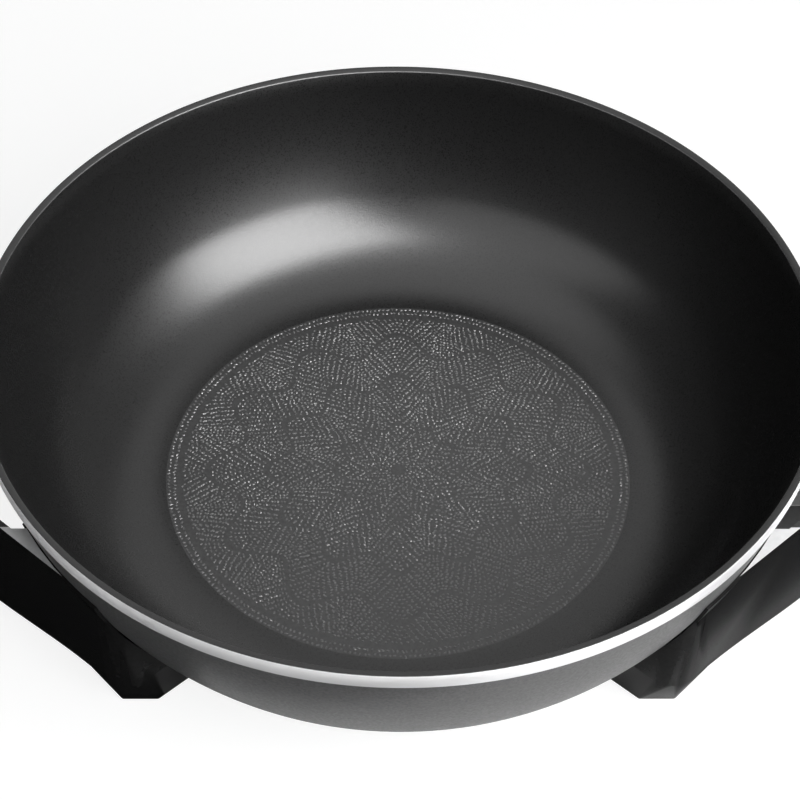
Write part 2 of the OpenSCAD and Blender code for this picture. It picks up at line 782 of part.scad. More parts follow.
// A bush with a flange on each side of the back wall
module cord_gland() {
    wall_in = body_end - shell_t;
    color("#161616") translate([0, 0, axis_z]) rotate([0, 90, 0]) rotate_extrude() polygon([
        [gland_bore_d / 2, wall_in - 2.4], [gland_flange_d / 2, wall_in - 2.4],
        [gland_flange_d / 2, wall_in - fit], [gland_d / 2, wall_in - fit], [gland_d / 2, body_end + fit],
        [gland_flange_d / 2, body_end + fit], [gland_flange_d / 2, gland_end],
        [gland_bore_d / 2, gland_end]]);
}

// The spindle turns in the cover and carries a collar under it and a flat under the dial
module dial_spindle() {
    top = dial_z + dial_h - 2.5;
    color("#b4b6b8") translate([dial_axis.x, dial_axis.y, 0]) difference() {
        union() {
            translate([0, 0, spindle_z]) cylinder(d = spindle_d, h = top - spindle_z);
            translate([0, 0, inside_top - loose - 2]) cylinder(d = collar_d, h = 2);
        }
        block([spindle_d / 4, -spindle_d, dial_z + 2], [spindle_d, spindle_d, top + over]);
    }
}

// The dial: a fluted cup with a hub that keys on the spindle's flat and a raised finger bar
module control_dial() {
    flutes = 24;
    top = dial_z + dial_h;
    cup_t = 2;
    cup_h = dial_h - 3.5;
    bar_w = 7;
    color("#1c1c1c") translate([dial_axis.x, dial_axis.y, 0]) difference() {
        union() {
            difference() {
                translate([0, 0, dial_z]) rotate_extrude() polygon([
                    [0, 0], [dial_d / 2, 0], [dial_d / 2, 3], [dial_d / 2 - 2, cup_h - 1],
                    [dial_d / 2 - 3, cup_h], [0, cup_h]]);
                translate([0, 0, dial_z - over])
                    cylinder(d = dial_d - 2 * cup_t - 4, h = cup_h - cup_t + over);
                for (i = [0:flutes - 1]) rotate([0, 0, i * 360 / flutes])
                    translate([dial_d / 2 + 0.6, 0, dial_z + 3]) cylinder(d = 4, h = dial_h, $fn = hull_fn);
            }
            translate([0, 0, dial_z]) cylinder(d = hub_d, h = cup_h);
            block([-dial_d / 2 + 4, -bar_w / 2, top - 4.5], [dial_d / 2 - 4, bar_w / 2, top]);
        }
        difference() {
            translate([0, 0, dial_z - over]) cylinder(d = spindle_d + 2 * fit, h = cup_h + 2 * over + fit);
            block([spindle_d / 4 + fit, -spindle_d, dial_z + 2 + 2 * fit], [spindle_d, spindle_d, top]);
        }
    }
}

pan();
heating_element();
terminal_pin(-1);  // front_terminal_pin
terminal_pin(1);  // rear_terminal_pin
pin_insulator(-1);  // front_pin_insulator
pin_insulator(1);  // rear_pin_insulator
inlet_guard();
inlet_guard_screws();
left_handle();
right_handle();
handle_screws();
handle_washers();
foot(-1, -1);  // front_left_foot
foot(-1, 1);  // rear_left_foot
foot(1, -1);  // front_right_foot
foot(1, 1);  // rear_right_foot
control_base();
control_cover();
control_screws();
sensor_probe();
contact_sleeve(-1);  // front_contact_sleeve
contact_sleeve(1);  // rear_contact_sleeve
earth_contact();
thermostat_block();
bimetal_blade();
moving_contact();
fixed_contact();
indicator_lamp();
indicator_lens();
cord_gland();
dial_spindle();
control_dial();
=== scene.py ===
# %% [markdown]
# # An electric wok in Blender
# The real object is a cast pan with a black non-stick inside, a bright turned band under the rim and
# speckled grey paint outside. Two black moulded handles carry it on four short legs, and a plug-in
# temperature control sits under the right-hand handle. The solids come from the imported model, which
# gives every place and size. This lesson adds the finishes, the soft edges and the floor's relief.

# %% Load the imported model
import math
import random

import bmesh
import bpy
from mathutils import Matrix, Vector


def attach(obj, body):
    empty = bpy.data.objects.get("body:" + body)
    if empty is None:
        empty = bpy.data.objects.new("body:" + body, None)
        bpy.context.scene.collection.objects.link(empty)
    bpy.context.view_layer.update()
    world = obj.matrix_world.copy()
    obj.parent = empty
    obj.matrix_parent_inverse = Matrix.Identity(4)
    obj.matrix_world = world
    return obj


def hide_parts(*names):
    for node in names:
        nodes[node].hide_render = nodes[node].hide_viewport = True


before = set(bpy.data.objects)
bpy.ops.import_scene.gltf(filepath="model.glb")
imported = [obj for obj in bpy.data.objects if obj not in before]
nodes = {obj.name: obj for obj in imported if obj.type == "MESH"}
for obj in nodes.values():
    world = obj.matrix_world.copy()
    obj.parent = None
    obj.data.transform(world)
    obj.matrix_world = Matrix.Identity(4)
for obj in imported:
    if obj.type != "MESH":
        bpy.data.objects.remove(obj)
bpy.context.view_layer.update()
MM = 0.001

# %% [markdown]
# ## The camera
# The camera's height, tilt and lens were worked out from the rim's ellipse, because a circle of known
# size seen from the side gives all three. It is also turned a little about its own axis, so the right
# side of the picture hangs lower. A matrix built from the three axes holds all of that at once.

# %% Place the camera
EYE = Vector((-10.17, -578.76, 695.47)) * MM
LOOK = Vector((0.0124, 0.68303, -0.73028)).normalized()
ROLL = math.radians(0.845)
LENS = 91.55

level = LOOK.cross(Vector((0, 0, 1))).normalized()
upright = level.cross(LOOK)
side = level * math.cos(ROLL) + upright * math.sin(ROLL)
top = upright * math.cos(ROLL) - level * math.sin(ROLL)
camera = bpy.data.objects.new("camera", bpy.data.cameras.new("camera"))
bpy.context.collection.objects.link(camera)
camera.data.sensor_fit = "HORIZONTAL"
camera.data.sensor_width = 36
camera.data.lens = LENS
turned = Matrix((side, top, -LOOK)).transposed().to_4x4()
camera.matrix_world = Matrix.Translation(EYE) @ turned
bpy.context.scene.camera = camera
print("camera at", [round(v, 3) for v in EYE])

# %% [markdown]
# ## The studio
# Seen directly or in a reflection the surroundings are white, while for soft light they are dim, so that
# the shaded side of the bowl can go dark.

# %% White surroundings
DIM = 0.12
scene = bpy.context.scene
scene.view_settings.view_transform = "Standard"


def seen_directly(tree):
    """A factor that is 1 for rays from the camera, from gloss and through glass, and 0 for soft light."""
    path = tree.nodes.new("ShaderNodeLightPath")
    total = path.outputs["Is Camera Ray"]
    for name in ("Is Glossy Ray", "Is Transmission Ray"):
        add = tree.nodes.new("ShaderNodeMath")
        add.operation = "MAXIMUM"
        tree.links.new(total, add.inputs[0])
        tree.links.new(path.outputs[name], add.inputs[1])
        total = add.outputs[0]
    return total


world = bpy.data.worlds.new("studio")
scene.world = world
world.use_nodes = True
tree = world.node_tree
dim = tree.nodes["Background"]
dim.inputs["Color"].default_value = (1, 1, 1, 1)
dim.inputs["Strength"].default_value = DIM
white = tree.nodes.new("ShaderNodeBackground")
white.inputs["Color"].default_value = (1, 1, 1, 1)
white.inputs["Strength"].default_value = 1
mix = tree.nodes.new("ShaderNodeMixShader")
tree.links.new(seen_directly(tree), mix.inputs[0])
tree.links.new(dim.outputs[0], mix.inputs[1])
tree.links.new(white.outputs[0], mix.inputs[2])
tree.links.new(mix.outputs[0], tree.nodes["World Output"].inputs["Surface"])
print("surroundings", DIM, "for soft light")

# %% [markdown]
# The floor is plain paper. The camera sees it glow a little, so that it comes out near white and keeps a
# light shadow. To every other ray it is matt white.

# %% Paper floor
FLOOR_SIZE = 4
FLOOR_WHITE = 0.85
FLOOR_LIT = 0.24
FLOOR_GLOW = 0.86


def add_object(name, bm, materials):
    """Turns bm into an object in the scene."""
    mesh = bpy.data.meshes.new(name)
    bm.to_mesh(mesh)
    bm.free()
    for material in materials:
        mesh.materials.append(material)
    made = bpy.data.objects.new(name, mesh)
    bpy.context.collection.objects.link(made)
    return made


paper = bpy.data.materials.new("white_paper")
paper.use_nodes = True
tree = paper.node_tree
tree.nodes.clear()
out = tree.nodes.new("ShaderNodeOutputMaterial")
matt = tree.nodes.new("ShaderNodeBsdfDiffuse")
matt.inputs["Color"].default_value = (FLOOR_WHITE, FLOOR_WHITE, FLOOR_WHITE, 1)
lit = tree.nodes.new("ShaderNodeBsdfDiffuse")
lit.inputs["Color"].default_value = (FLOOR_LIT, FLOOR_LIT, FLOOR_LIT, 1)
glow = tree.nodes.new("ShaderNodeEmission")
glow.inputs["Strength"].default_value = FLOOR_GLOW
both = tree.nodes.new("ShaderNodeAddShader")
tree.links.new(lit.outputs[0], both.inputs[0])
tree.links.new(glow.outputs[0], both.inputs[1])
mix = tree.nodes.new("ShaderNodeMixShader")
tree.links.new(tree.nodes.new("ShaderNodeLightPath").outputs["Is Camera Ray"], mix.inputs[0])
tree.links.new(matt.outputs[0], mix.inputs[1])
tree.links.new(both.outputs[0], mix.inputs[2])
tree.links.new(mix.outputs[0], out.inputs["Surface"])
bm = bmesh.new()
bmesh.ops.create_grid(bm, x_segments=1, y_segments=1, size=FLOOR_SIZE)
floor = add_object("floor", bm, [paper])
print("floor", 2 * FLOOR_SIZE, "m wide")

# %% [markdown]
# Black gloss shows whatever stands round it. Cloths on upright arcs, one overhead and three small mats
# beside the legs are what the bowl, the paint and the handles mirror: dark ones for the deep tones, and
# ones lit from behind for the pale sheen. Only gloss sees them, so they cast no soft light and no shadow.

# %% Cloths that only gloss sees
CLOTH_R = 1.3
CLOTH_H = 2.2
DARK = 0.02


def cloth(name, shade, glow=0):
    """The material of a matt cloth, dark or lit from behind."""
    made = bpy.data.materials.new(name)
    made.use_nodes = True
    shader = made.node_tree.nodes["Principled BSDF"]
    shader.inputs["Base Color"].default_value = (shade, shade, shade, 1)
    shader.inputs["Roughness"].default_value = 1
    shader.inputs["Specular IOR Level"].default_value = 0
    shader.inputs["Emission Color"].default_value = (1, 1, 1, 1)
    shader.inputs["Emission Strength"].default_value = glow
    return made


def for_gloss(name, bm, material):
    """Puts a cloth into the studio so that only gloss sees it."""
    made = add_object(name, bm, [material])
    made.visible_camera = False
    made.visible_diffuse = False
    made.visible_shadow = False


def curtain(name, start_deg, end_deg, foot, height, material):
    """A cloth on an upright arc round the object."""
    bm = bmesh.new()
    low = bm.verts.new((CLOTH_R, 0, foot))
    bmesh.ops.rotate(bm, verts=[low], cent=(0, 0, 0), matrix=Matrix.Rotation(math.radians(start_deg), 3, "Z"))
    raised = bmesh.ops.extrude_vert_indiv(bm, verts=[low])
    bmesh.ops.translate(bm, verts=raised["verts"], vec=(0, 0, height))
    bmesh.ops.spin(bm, geom=bm.verts[:] + bm.edges[:], cent=(0, 0, 0), axis=(0, 0, 1), dvec=(0, 0, 0),
                   angle=math.radians(end_deg - start_deg), steps=24, use_merge=False)
    for_gloss(name, bm, material)


def flat_cloth(name, size, place, material):
    """A cloth laid flat, by the matrix place."""
    bm = bmesh.new()
    bmesh.ops.create_grid(bm, x_segments=1, y_segments=1, size=0.5,
                          matrix=place @ Matrix.Diagonal((*size, 1, 1)))
    for_gloss(name, bm, material)


def beside(turn_deg, out, along):
    """A place on the floor: out metres from the middle in a direction, then along metres to its left."""
    return Matrix.Rotation(math.radians(turn_deg), 4, "Z") @ Matrix.Translation((out, along, 0.0005))


black = cloth("low_curtain", DARK)
charcoal = cloth("front_curtain", 0.1)
curtain("left_curtain", 101, 188, 0, CLOTH_H, cloth("left_curtain", DARK, 0.3))
curtain("low_curtain", 188, 262, 0, 0.5, black)
curtain("front_left_cloth", 188, 262, 0.5, 1.7, cloth("front_left_cloth", DARK, 5))
curtain("front_curtain", 262, 345, 0, 0.3, charcoal)
curtain("right_curtain", -15, 67, 0, CLOTH_H, cloth("right_curtain", DARK, 1))
curtain("back_curtain", 67, 101, 0, CLOTH_H, cloth("back_curtain", DARK, 2.6))
flat_cloth("ceiling", (2 * CLOTH_R, 2 * CLOTH_R), Matrix.Translation((0, 0, CLOTH_H)),
           cloth("ceiling_cloth", DARK, 4.5))
flat_cloth("left_mat", (0.105, 0.21), beside(228, 0.1875, -0.095), black)
flat_cloth("right_mat", (0.12, 0.16), beside(-48, 0.232, 0.125), black)
flat_cloth("front_mat", (0.1, 0.26), beside(245, 0.22, 0.02), charcoal)

# %% [markdown]
# Two lamps share the front right corner. Only gloss sees the first one, which draws the long highlight on
# the bowl's far wall. Only soft light sees the second one, which is the key.

# %% Lamps
def soft_lamp(name, place, target, size, radiance):
    """A rectangular lamp that looks at target. Its power follows from its brightness and its area."""
    data = bpy.data.lights.new(name, "AREA")
    data.shape = "RECTANGLE"
    data.size, data.size_y = size
    data.energy = radiance * math.pi * size[0] * size[1]
    lamp = bpy.data.objects.new(name, data)
    bpy.context.collection.objects.link(lamp)
    aim = Vector(target) - Vector(place)
    lamp.matrix_world = Matrix.Translation(place) @ aim.to_track_quat("-Z", "Y").to_matrix().to_4x4()
    lamp.visible_camera = False
    return lamp


gloss_box = soft_lamp("gloss_box", (0.606, -0.556, 0.918), (-0.08, 0.13, 0.05), (1.1, 1.2), 42)
gloss_box.visible_diffuse = False
key_box = soft_lamp("key_box", (0.6, -0.65, 0.85), (0, 0, 0.05), (0.9, 0.7), 8.6)
key_box.visible_glossy = False

# %% [markdown]
# ## A kit for finishes
# Every finish here has the same skeleton: one noise that mottles the colour, and one fine grain that
# varies the roughness and goes to a bump node. Both read Object coordinates in metres, so a grain of a
# given size looks the same on every piece.

# %% The finish helper
def link_noise(tree, coords, size_mm, detail=2.0, stretch=None):
    """A noise texture whose blobs are about size_mm across."""
    if stretch:
        mapping = tree.nodes.new("ShaderNodeMapping")
        mapping.inputs["Scale"].default_value = stretch
        tree.links.new(coords, mapping.inputs["Vector"])
        coords = mapping.outputs["Vector"]
    noise = tree.nodes.new("ShaderNodeTexNoise")
    noise.inputs["Scale"].default_value = 1000 / size_mm
    noise.inputs["Detail"].default_value = detail
    tree.links.new(coords, noise.inputs["Vector"])
    return noise.outputs["Fac"]


def spread(tree, value, low, high):
    """Maps a noise's useful middle range to low..high."""
    ramp = tree.nodes.new("ShaderNodeMapRange")
    ramp.inputs["From Min"].default_value = 0.3
    ramp.inputs["From Max"].default_value = 0.7
    ramp.inputs["To Min"].default_value = low
    ramp.inputs["To Max"].default_value = high
    tree.links.new(value, ramp.inputs["Value"])
    return ramp.outputs["Result"]


def finish(name, dark, light, rough, metallic=0.0, specular=0.5, mottle_mm=3.0, grain_mm=0.6, bump_mm=0.02,
           stretch=None):
    """A material that varies between two colours and two roughnesses, with a fine bump."""
    made = bpy.data.materials.new(name)
    made.use_nodes = True
    tree = made.node_tree
    shader = tree.nodes["Principled BSDF"]
    shader.inputs["Metallic"].default_value = metallic
    shader.inputs["Specular IOR Level"].default_value = specular
    coords = tree.nodes.new("ShaderNodeTexCoord").outputs["Object"]
    blend = tree.nodes.new("ShaderNodeMix")
    blend.data_type = "RGBA"
    blend.inputs["A"].default_value = (*dark, 1)
    blend.inputs["B"].default_value = (*light, 1)
    mottle = link_noise(tree, coords, mottle_mm, 3.0, stretch)
    tree.links.new(spread(tree, mottle, 0, 1), blend.inputs["Factor"])
    tree.links.new(blend.outputs["Result"], shader.inputs["Base Color"])
    grain = link_noise(tree, coords, grain_mm, 2.0, stretch)
    tree.links.new(spread(tree, grain, *rough), shader.inputs["Roughness"])
    bump = tree.nodes.new("ShaderNodeBump")
    bump.inputs["Strength"].default_value = 1
    bump.inputs["Distance"].default_value = bump_mm * MM
    tree.links.new(grain, bump.inputs["Height"])
    tree.links.new(bump.outputs["Normal"], shader.inputs["Normal"])
    return made


def grey(v):
    return (v, v, v * 1.01)


# %% Finishes of the pan
coat = finish("nonstick_coat", grey(0.005), grey(0.009), (0.25, 0.33), specular=0.18, mottle_mm=1.6,
              grain_mm=0.7, bump_mm=0.04)
# Painted sheen: the smooth floor inside the relief is coloured several times lighter than the rest of the
# coat.
disc_painted_sheen = finish("disc_painted_sheen", grey(0.026), grey(0.042), (0.27, 0.35), specular=0.18, mottle_mm=1.6,
                   grain_mm=0.9, bump_mm=0.02)
# Painted sheen: the dashes are coloured many times lighter than the coat, adding to the glints that the raised
# grain catches.
relief_painted_sheen = finish("relief_painted_sheen", grey(0.07), grey(0.11), (0.27, 0.35), specular=0.3, mottle_mm=1.2,
                     grain_mm=0.7, bump_mm=0.02)
rim_coat = finish("rim_coat", grey(0.007), grey(0.012), (0.4, 0.5), specular=0.15, mottle_mm=1.0,
                  grain_mm=0.7, bump_mm=0.004)
# Painted highlight: the rim's rounded inner edge is coloured several times lighter than the rim, as a thin
# bright line.
rim_edge_painted_highlight = finish("rim_edge_painted_highlight", grey(0.04), grey(0.08), (0.4, 0.5), specular=0.2, mottle_mm=2, grain_mm=0.6)
turned_metal = finish("turned_metal", grey(0.69), grey(0.75), (0.4, 0.48), metallic=0.92, mottle_mm=5,
                      grain_mm=0.25, bump_mm=0.004, stretch=(0.02, 0.02, 1))
speckled_paint = finish("speckled_paint", grey(0.035), grey(0.075), (0.34, 0.44), specular=0.5, mottle_mm=1.1,
                        grain_mm=1.2, bump_mm=0.05)
bare_casting = finish("bare_casting", grey(0.42), grey(0.52), (0.4, 0.55), metallic=0.9, mottle_mm=4,
                      grain_mm=0.8, bump_mm=0.03)
print("finishes up to the pan's", len(bpy.data.materials))

# %% Finishes of the mouldings and fittings
phenolic = finish("black_phenolic", grey(0.006), grey(0.011), (0.18, 0.25), specular=0.021, mottle_mm=2,
                  grain_mm=0.5, bump_mm=0.004)
# The upper faces' finish: glossier from polish, and a little lighter in colour as painted sheen.
polished_phenolic_painted_sheen = finish("polished_phenolic_painted_sheen", grey(0.011), grey(0.018), (0.26, 0.34), specular=0.35, mottle_mm=2,
                       grain_mm=0.5, bump_mm=0.004)
bright_plate = finish("bright_plate", grey(0.44), grey(0.5), (0.38, 0.48), metallic=0.15, mottle_mm=3,
                      grain_mm=0.3, bump_mm=0.003)
rubber = finish("black_rubber", grey(0.016), grey(0.026), (0.6, 0.75), specular=0.3, mottle_mm=3,
                grain_mm=0.4, bump_mm=0.02)
shell_plastic = finish("shell_plastic", grey(0.016), grey(0.022), (0.42, 0.52), mottle_mm=1.5, grain_mm=0.5,
                       bump_mm=0.02)
dial_plastic = finish("dial_plastic", grey(0.014), grey(0.018), (0.25, 0.32), mottle_mm=2, grain_mm=0.5,
                      bump_mm=0.004)
zinc = finish("zinc_plate", grey(0.55), grey(0.68), (0.28, 0.4), metallic=1.0, mottle_mm=4, grain_mm=0.6,
              bump_mm=0.01)
probe_steel = finish("probe_steel", grey(0.6), grey(0.7), (0.2, 0.28), metallic=1.0, mottle_mm=4,
                     grain_mm=0.3, bump_mm=0.004, stretch=(0.05, 1, 1))
brass = finish("contact_brass", (0.62, 0.44, 0.16), (0.74, 0.56, 0.26), (0.24, 0.34), metallic=1.0,
               mottle_mm=3, grain_mm=0.5, bump_mm=0.006)
nickel = finish("nickel_plate", (0.62, 0.59, 0.50), (0.72, 0.69, 0.60), (0.18, 0.28), metallic=1.0,
                mottle_mm=3, grain_mm=0.5, bump_mm=0.004)
ceramic = finish("white_ceramic", (0.74, 0.70, 0.62), (0.84, 0.81, 0.74), (0.5, 0.6), mottle_mm=3,
                 grain_mm=0.4, bump_mm=0.01)
sheath = finish("heater_sheath", (0.34, 0.31, 0.28), (0.44, 0.41, 0.38), (0.4, 0.5), metallic=1.0,
                mottle_mm=4, grain_mm=0.5, bump_mm=0.01)
bimetal = finish("bimetal", (0.42, 0.38, 0.34), (0.52, 0.48, 0.44), (0.3, 0.4), metallic=1.0, mottle_mm=3)
lamp_glass = finish("lamp_glass", (0.90, 0.72, 0.58), (0.95, 0.80, 0.66), (0.05, 0.08), mottle_mm=6,
                    bump_mm=0.001)
lens_red = finish("lens_red", (0.40, 0.02, 0.015), (0.50, 0.04, 0.025), (0.08, 0.12), mottle_mm=5,
                  bump_mm=0.001)
mark_paint = finish("mark_paint", grey(0.62), grey(0.7), (0.5, 0.6), mottle_mm=1, grain_mm=0.3, bump_mm=0.004)
print("finishes", len(bpy.data.materials))

# %% [markdown]
# ## The pan
# A pan is turned on a lathe, so its shape is one profile spun about the axis. The wall's curve is built
# the same way at a smaller scale: a single vertex spun about the curve's centre leaves a neat arc. BULGE
# is the centre of the wall's arcs, COVE that of the inner curve at the floor's edge and HEEL that of the
# outer one. Then the rim's edges are rounded, and each face gets the finish of its zone.

# %% Profile and lathe helpers
def start(bm, x, z):
    """The first point of a profile in the XZ plane, in millimetres."""
    return bm.verts.new((x * MM, 0, z * MM))


def line_to(bm, point, x, z):
    """Draws a straight edge from point to (x, z)."""
    new = bmesh.ops.extrude_vert_indiv(bm, verts=[point])["verts"][0]
    new.co = (x * MM, 0, z * MM)
    return new


def arc_to(bm, point, cx, cz, degrees, steps):
    """Spins point about (cx, cz). A positive angle turns from +X towards +Z."""
    spun = bmesh.ops.spin(bm, geom=[point], cent=(cx * MM, 0, cz * MM), axis=(0, -1, 0), dvec=(0, 0, 0),
                          angle=math.radians(degrees), steps=steps, use_merge=False)
    return [e for e in spun["geom_last"] if isinstance(e, bmesh.types.BMVert)][0]


def tidy(bm, gap_mm=0.001):
    """Merges doubles, then turns every face outwards."""
    bmesh.ops.remove_doubles(bm, verts=bm.verts[:], dist=gap_mm * MM)
    bmesh.ops.dissolve_degenerate(bm, edges=bm.edges[:], dist=gap_mm * MM / 10)
    bmesh.ops.recalc_face_normals(bm, faces=bm.faces[:])


def lathe(bm, steps):
    """Spins everything in bm once round the upright axis, and closes the seam."""
    bmesh.ops.spin(bm, geom=bm.verts[:] + bm.edges[:], cent=(0, 0, 0), axis=(0, 0, 1), dvec=(0, 0, 0),
                   angle=math.tau, steps=steps, use_merge=True)
    tidy(bm)


def sharp_edges(bm, degrees):
    limit = math.radians(degrees)
    return [e for e in bm.edges if len(e.link_faces) == 2 and e.calc_face_angle() > limit]


def soften(bm, edges, width_mm, segments=2):
    """Rounds the given edges."""
    bmesh.ops.bevel(bm, geom=edges, affect="EDGES", offset=width_mm * MM, offset_type="OFFSET",
                    segments=segments, profile=0.5, material=-1, clamp_overlap=True)


def piece(name, bm, materials, body, smooth_deg=30):
    """Turns bm into an object that rides on a CAD body, with smooth shading up to an angle."""
    for face in bm.faces:
        face.smooth = True
    for edge in bm.edges:
        edge.smooth = len(edge.link_faces) != 2 or edge.calc_face_angle() < math.radians(smooth_deg)
    made = add_object(name, bm, materials)
    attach(made, body)
    print(name, len(made.data.polygons), "faces")
    return made


# %% Draw and spin the pan
FLOOR_Z, BASE_Z = 32.5, 25.5
DISC_R = 100
RIM_R, RIM_Z = 170, 119
LIP_R, LIP_Z = 167.1, 118.1
BAND_R, BAND_Z = 168.8, 112
COVE = (101.5, 85.874)
HEEL = (106.5, 69.5)
BULGE = (0.817, 138.108)
BULGE_IN, BULGE_OUT = 166.8, 170
IN_LOW, IN_HIGH = 27.42, 9.0
OUT_LOW, OUT_HIGH = 33.0, 8.83
bm = bmesh.new()
p = start(bm, 0, FLOOR_Z)
p = line_to(bm, p, DISC_R, FLOOR_Z)
p = line_to(bm, p, COVE[0], FLOOR_Z)
p = arc_to(bm, p, *COVE, 90 - IN_LOW, 32)
p = arc_to(bm, p, *BULGE, IN_LOW - IN_HIGH, 28)
p = line_to(bm, p, LIP_R, LIP_Z)
p = line_to(bm, p, RIM_R, RIM_Z)
p = line_to(bm, p, RIM_R, BAND_Z)
p = line_to(bm, p, BAND_R, BAND_Z)
p = arc_to(bm, p, *BULGE, OUT_HIGH - OUT_LOW, 32)
p = arc_to(bm, p, *HEEL, OUT_LOW - 90, 24)
p = line_to(bm, p, HEEL[0], BASE_Z)
p = line_to(bm, p, 0, BASE_Z)
lathe(bm, 240)
rim_edges = [e for e in sharp_edges(bm, 35) if min(v.co.z for v in e.verts) > (BAND_Z - 1) * MM]
soften(bm, rim_edges, 0.4, 3)
COAT, RIM, BAND, PAINT, CAST, EDGE_HIGHLIGHT, DISC = range(7)


def zone(face):
    """Which finish a face of the pan gets, by its place and the way it looks."""
    mid = face.calc_center_median() / MM
    r = math.hypot(mid.x, mid.y)
    inward = face.normal.x * mid.x + face.normal.y * mid.y < 0
    if mid.z >= BAND_Z - 0.5:
        if inward and mid.z < RIM_Z - 1.5:
            return COAT
        # The rim's rounded inner edge gets the lighter colour that is painted highlight.
        if r < RIM_R - 2.75:
            return EDGE_HIGHLIGHT
        on_band = r > RIM_R - 0.25 and mid.z < RIM_Z - 0.25 or mid.z < BAND_Z + 0.5
        return BAND if on_band else RIM
    if face.normal.z > 0.9 and mid.z > FLOOR_Z - 0.1:
        # The floor's middle gets the lighter disc colour, which is painted sheen.
        return DISC if r < DISC_R else COAT
    if inward:
        return COAT
    return CAST if mid.z < BASE_Z + 0.1 else PAINT


for face in bm.faces:
    face.material_index = zone(face)
pan = piece("pan_bowl", bm, [coat, rim_coat, turned_metal, speckled_paint, bare_casting, rim_edge_painted_highlight, disc_painted_sheen],
            "wok")
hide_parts("pan")

# %% [markdown]
# ## Under the pan
# The heater's ridge, the terminal boss and the four screw lugs are cast on the underside, and the boss
# has bores for the pins and the probe. Those solids are right as they are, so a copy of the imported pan
# is taken, every face that belongs to the bowl itself is deleted, and the open tops are pushed a little
# into the metal and filled.

# %% Keep only what is cast on the underside
CAST_TOP = 60
ARCS = ((*HEEL, HEEL[1] - BASE_Z), (*BULGE, BULGE_OUT), (*COVE, COVE[1] - FLOOR_Z), (*BULGE, BULGE_IN))


def on_bowl(v):
    """Whether a point lies on the bowl's own inside or outside."""
    r, z = math.hypot(v.co.x, v.co.y) / MM, v.co.z / MM
    if z > CAST_TOP or abs(z - BASE_Z) < 0.02 and r < HEEL[0] + 0.5 or abs(z - FLOOR_Z) < 0.02:
        return True
    return any(abs(math.hypot(r - cx, z - cz) - radius) < 0.3 for cx, cz, radius in ARCS)


bm = bmesh.new()
bm.from_mesh(nodes["pan"].data)
tidy(bm, 0.01)
bmesh.ops.delete(bm, geom=[f for f in bm.faces if all(on_bowl(v) for v in f.verts)], context="FACES")
open_edges = [e for e in bm.edges if e.is_boundary]
grown = bmesh.ops.extrude_edge_only(bm, edges=open_edges)["geom"]
bmesh.ops.translate(bm, verts=[e for e in grown if isinstance(e, bmesh.types.BMVert)], vec=(0, 0, 0.8 * MM))
bmesh.ops.holes_fill(bm, edges=[e for e in bm.edges if e.is_boundary], sides=0)
tidy(bm, 0.01)
piece("pan_underside", bm, [bare_casting], "wok")

# %% [markdown]
# ## The floor's relief
# The middle of the bowl's floor is stamped with a fine raised grain that keeps food from sticking. Here it
# is a plain rosette: short dashes on rings that swell twelve times, with three rings left smooth, and a
# round border of two rows of dashes. The grain is a little irregular, so every dash is nudged by a seeded
# random amount. One twelfth is laid out, and a spin that duplicates instead of sweeping makes the rest.

# %% Lay out one twelfth and spin it
LOBES = 12
PITCH = 1.8
SWELL = 0.09
LAST_R = 93
SMOOTH_ROWS = (14, 29, 42)
BORDER = 26
DASH_H, SUNK = 0.3, 0.04
NUDGE, TWIST = 0.35, 60
luck = random.Random(4)


def dash(bm, r, around, lean_deg, long, wide):
    """One low five-sided dash on the floor, r millimetres out. A lean of 0 points outwards."""
    nudge = Matrix.Translation((luck.uniform(-NUDGE, NUDGE) * MM, luck.uniform(-NUDGE, NUDGE) * MM, 0))
    place = Matrix.Translation((r * MM, 0, (FLOOR_Z + DASH_H / 2 - SUNK) * MM))
    lean = Matrix.Rotation(math.radians(lean_deg + luck.uniform(-TWIST, TWIST)), 4, "Z")
    shape = Matrix.Diagonal((long * luck.uniform(0.75, 1.15) * MM, wide * MM, DASH_H * MM, 1))
    bmesh.ops.create_cone(bm, cap_ends=True, cap_tris=False, segments=5, radius1=0.5, radius2=0.26, depth=1,
                          matrix=Matrix.Rotation(around, 4, "Z") @ place @ nudge @ lean @ shape)


bm = bmesh.new()
sector = math.tau / LOBES
for row in range(2, 58):
    lean_deg = 52 if sum(row > smooth for smooth in SMOOTH_ROWS) % 2 else -52
    count = round(row * sector)
    for i in range(count):
        around = (i + 0.5 * (row % 2)) / count * sector
        r = row * PITCH * (1 + SWELL * math.cos(LOBES * around))
        if row not in SMOOTH_ROWS and r < LAST_R:
            dash(bm, r, around, lean_deg, 1.6, 1.05)
for i in range(BORDER):
    for r, shift, lean_deg in ((96.4, 0.5, 30), (98.8, 0, -30)):
        dash(bm, r, (i + shift) / BORDER * sector, lean_deg, 1.9, 1.1)
bmesh.ops.spin(bm, geom=bm.verts[:] + bm.edges[:] + bm.faces[:], cent=(0, 0, 0), axis=(0, 0, 1),
               dvec=(0, 0, 0), angle=sector * (LOBES - 1), steps=LOBES - 1, use_merge=False,
               use_duplicate=True)
bmesh.ops.recalc_face_normals(bm, faces=bm.faces[:])
# The dashes carry the lighter relief colour, which is painted sheen.
piece("floor_relief", bm, [relief_painted_sheen], "wok", 20)

# %% [markdown]
# ## The handles
# A moulding has no knife edges. A copy of each packed handle has its flat faces joined again, and then all
# its edges are rounded. The upper faces are the ones that hands polish, so they get a glossier finish, and
# their colour is a little lighter as painted sheen. A cutting plane parts the tops of the webs beside the
# pan from the grip, and they get a bright finish.

# %% Round the handles' edges
FINGER_END = 80.7
WEB_TOP = 91.3
BLACK, POLISHED_SHEEN, PLATE = range(3)


